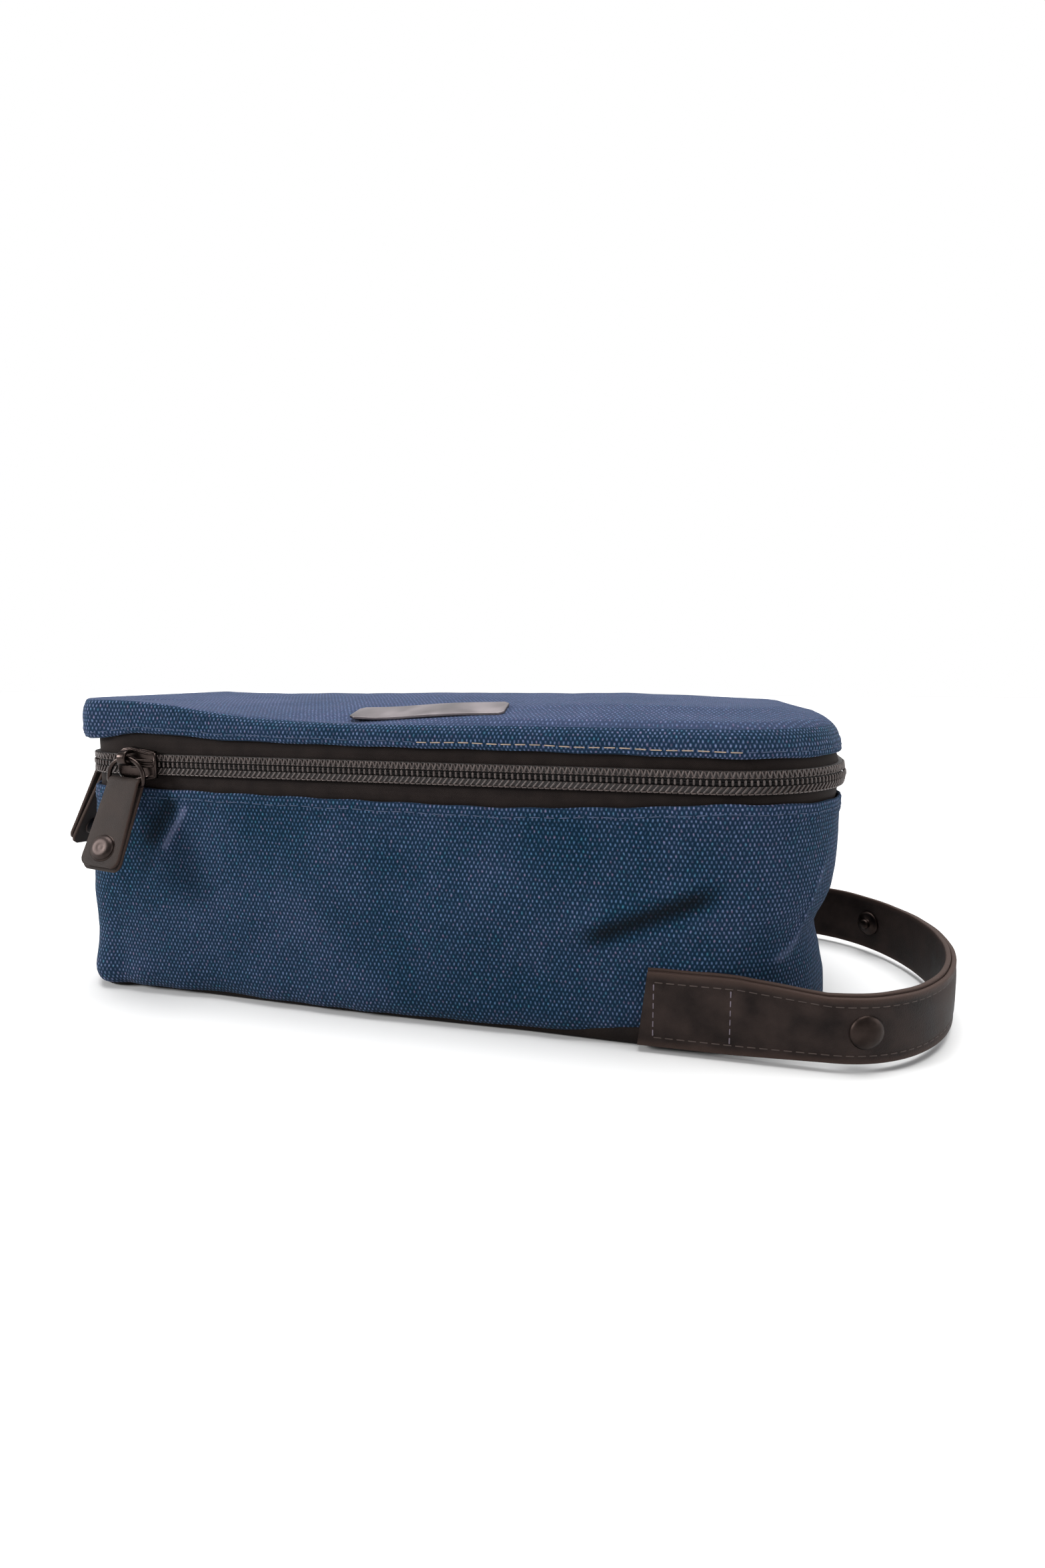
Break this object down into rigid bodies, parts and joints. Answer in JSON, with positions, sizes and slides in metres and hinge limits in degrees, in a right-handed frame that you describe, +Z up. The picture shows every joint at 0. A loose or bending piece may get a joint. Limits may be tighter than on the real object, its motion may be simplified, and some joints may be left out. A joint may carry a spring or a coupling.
{
  "type": "shaving kit bag",
  "caption": "Zip-top canvas shaving kit bag with a hinged lid, leather zip pulls, a leather base and a leather loop handle.",
  "frame": {"origin": "centre of the underside of the leather base", "axes": "+X along the bag to the handle end, +Y to the hinged back, +Z up"},
  "size_m": [0.3106, 0.1368, 0.1017],
  "materials": {
    "canvas": "stone-washed coarse cotton canvas",
    "lining": "plain-weave cotton lining",
    "zip_tape": "woven tape",
    "zip_coil": "moulded coil, satin",
    "board": "raw fibreboard",
    "padding": "soft foam and felt",
    "base_leather": "dark brown, fine grain",
    "strap_leather": "dark brown, satin, burnished edges",
    "tab_leather": "dark brown-grey, satin",
    "nameplate_metal": "antique nickel, satin",
    "slider_metal": "black nickel, satin",
    "snap_metal": "dark bronze, satin"
  },
  "bodies": {
    "bag_body": {"base_panel": "base_leather", "base_board": "board", "front_panel": "canvas", "back_panel": "canvas", "left_end_panel": "canvas", "right_end_panel": "canvas", "body_lining": "lining", "lower_zip_tape": "zip_tape", "lower_zip_coil": "zip_coil", "body_hinge_strip": "lining", "zip_end_tabs": "strap_leather", "front_patch_outer_ply": "strap_leather", "front_patch_inner_ply": "strap_leather", "back_patch_outer_ply": "strap_leather", "back_patch_inner_ply": "strap_leather"},
    "lid": {"lid_band": "canvas", "lid_top_panel": "canvas", "lid_padding": "padding", "lid_board": "board", "lid_lining": "lining", "upper_zip_tape": "zip_tape", "upper_zip_coil": "zip_coil", "lid_hinge_strip": "lining", "nameplate": "nameplate_metal"},
    "front_slider": {"front_slider_body": "slider_metal", "front_slider_bridge": "slider_metal"},
    "front_ring": {"front_pull_ring": "slider_metal"},
    "front_tab": {"front_pull_tab": "tab_leather", "front_rivet_cap": "slider_metal", "front_rivet_back": "slider_metal"},
    "left_slider": {"left_slider_body": "slider_metal", "left_slider_bridge": "slider_metal"},
    "left_ring": {"left_pull_ring": "slider_metal"},
    "left_tab": {"left_pull_tab": "tab_leather", "left_rivet_cap": "slider_metal", "left_rivet_back": "slider_metal"},
    "front_arm": {"front_arm_outer_ply": "strap_leather", "front_arm_inner_ply": "strap_leather"},
    "front_loop": {"front_loop_outer_ply": "strap_leather", "front_loop_inner_ply": "strap_leather", "front_snap_cap": "snap_metal", "snap_socket": "snap_metal"},
    "back_arm": {"back_arm_outer_ply": "strap_leather", "back_arm_inner_ply": "strap_leather"},
    "back_loop": {"back_loop_outer_ply": "strap_leather", "back_loop_inner_ply": "strap_leather", "back_snap_cap": "snap_metal", "snap_stud": "snap_metal"}
  },
  "joints": [
    {"name": "lid_hinge", "type": "hinge", "parent": "bag_body", "child": "lid", "pos_m": [0, 0.058, 0.08], "axis": [-1, 0, 0], "range_deg": [0, 110]},
    {"name": "front_slide", "type": "slide", "parent": "bag_body", "child": "front_slider", "axis": [1, 0, 0], "range_m": [0, 0.168]},
    {"name": "front_ring_swing", "type": "hinge", "parent": "front_slider", "child": "front_ring", "pos_m": [-0.1009, -0.0624, 0.0824], "axis": [-1, 0, 0], "range_deg": [0, 100]},
    {"name": "front_tab_swing", "type": "hinge", "parent": "front_ring", "child": "front_tab", "pos_m": [-0.10106, -0.0624, 0.07401], "axis": [-0.9962, 0, 0.0872], "range_deg": [-18, 56], "stiffness_Nm_per_rad": 0.002},
    {"name": "left_slide", "type": "slide", "parent": "bag_body", "child": "left_slider", "axis": [0, 1, 0], "range_m": [0, 0.063]},
    {"name": "left_ring_swing", "type": "hinge", "parent": "left_slider", "child": "left_ring", "pos_m": [-0.1314, -0.0339, 0.0824], "axis": [0, 1, 0], "range_deg": [0, 100]},
    {"name": "left_tab_swing", "type": "hinge", "parent": "left_ring", "child": "left_tab", "pos_m": [-0.1314, -0.03406, 0.07401], "axis": [0, 0.9962, -0.0872], "range_deg": [-18, 56], "stiffness_Nm_per_rad": 0.002},
    {"name": "handle_squeeze", "type": "hinge", "parent": "bag_body", "child": "front_arm", "pos_m": [0.097, -0.0596, 0.0121], "axis": [0, 0, 1], "range_deg": [0, 16], "stiffness_Nm_per_rad": 0.02},
    {"name": "front_loop_bend", "type": "hinge", "parent": "front_arm", "child": "front_loop", "pos_m": [0.121, -0.0596, 0.0121], "axis": [0, 0, 1], "range_deg": [-24.5, 0]},
    {"name": "back_arm_bend", "type": "hinge", "parent": "bag_body", "child": "back_arm", "pos_m": [0.097, 0.0596, 0.0121], "axis": [0, 0, 1], "range_deg": [-16, 0]},
    {"name": "back_loop_bend", "type": "hinge", "parent": "back_arm", "child": "back_loop", "pos_m": [0.121, 0.0596, 0.0121], "axis": [0, 0, 1], "range_deg": [0, 24.5]}
  ],
  "couplings": [
    {"joint": "front_loop_bend", "follows": "handle_squeeze", "ratio": -1.53},
    {"joint": "back_arm_bend", "follows": "handle_squeeze", "ratio": -1},
    {"joint": "back_loop_bend", "follows": "handle_squeeze", "ratio": 1.53}
  ]
}
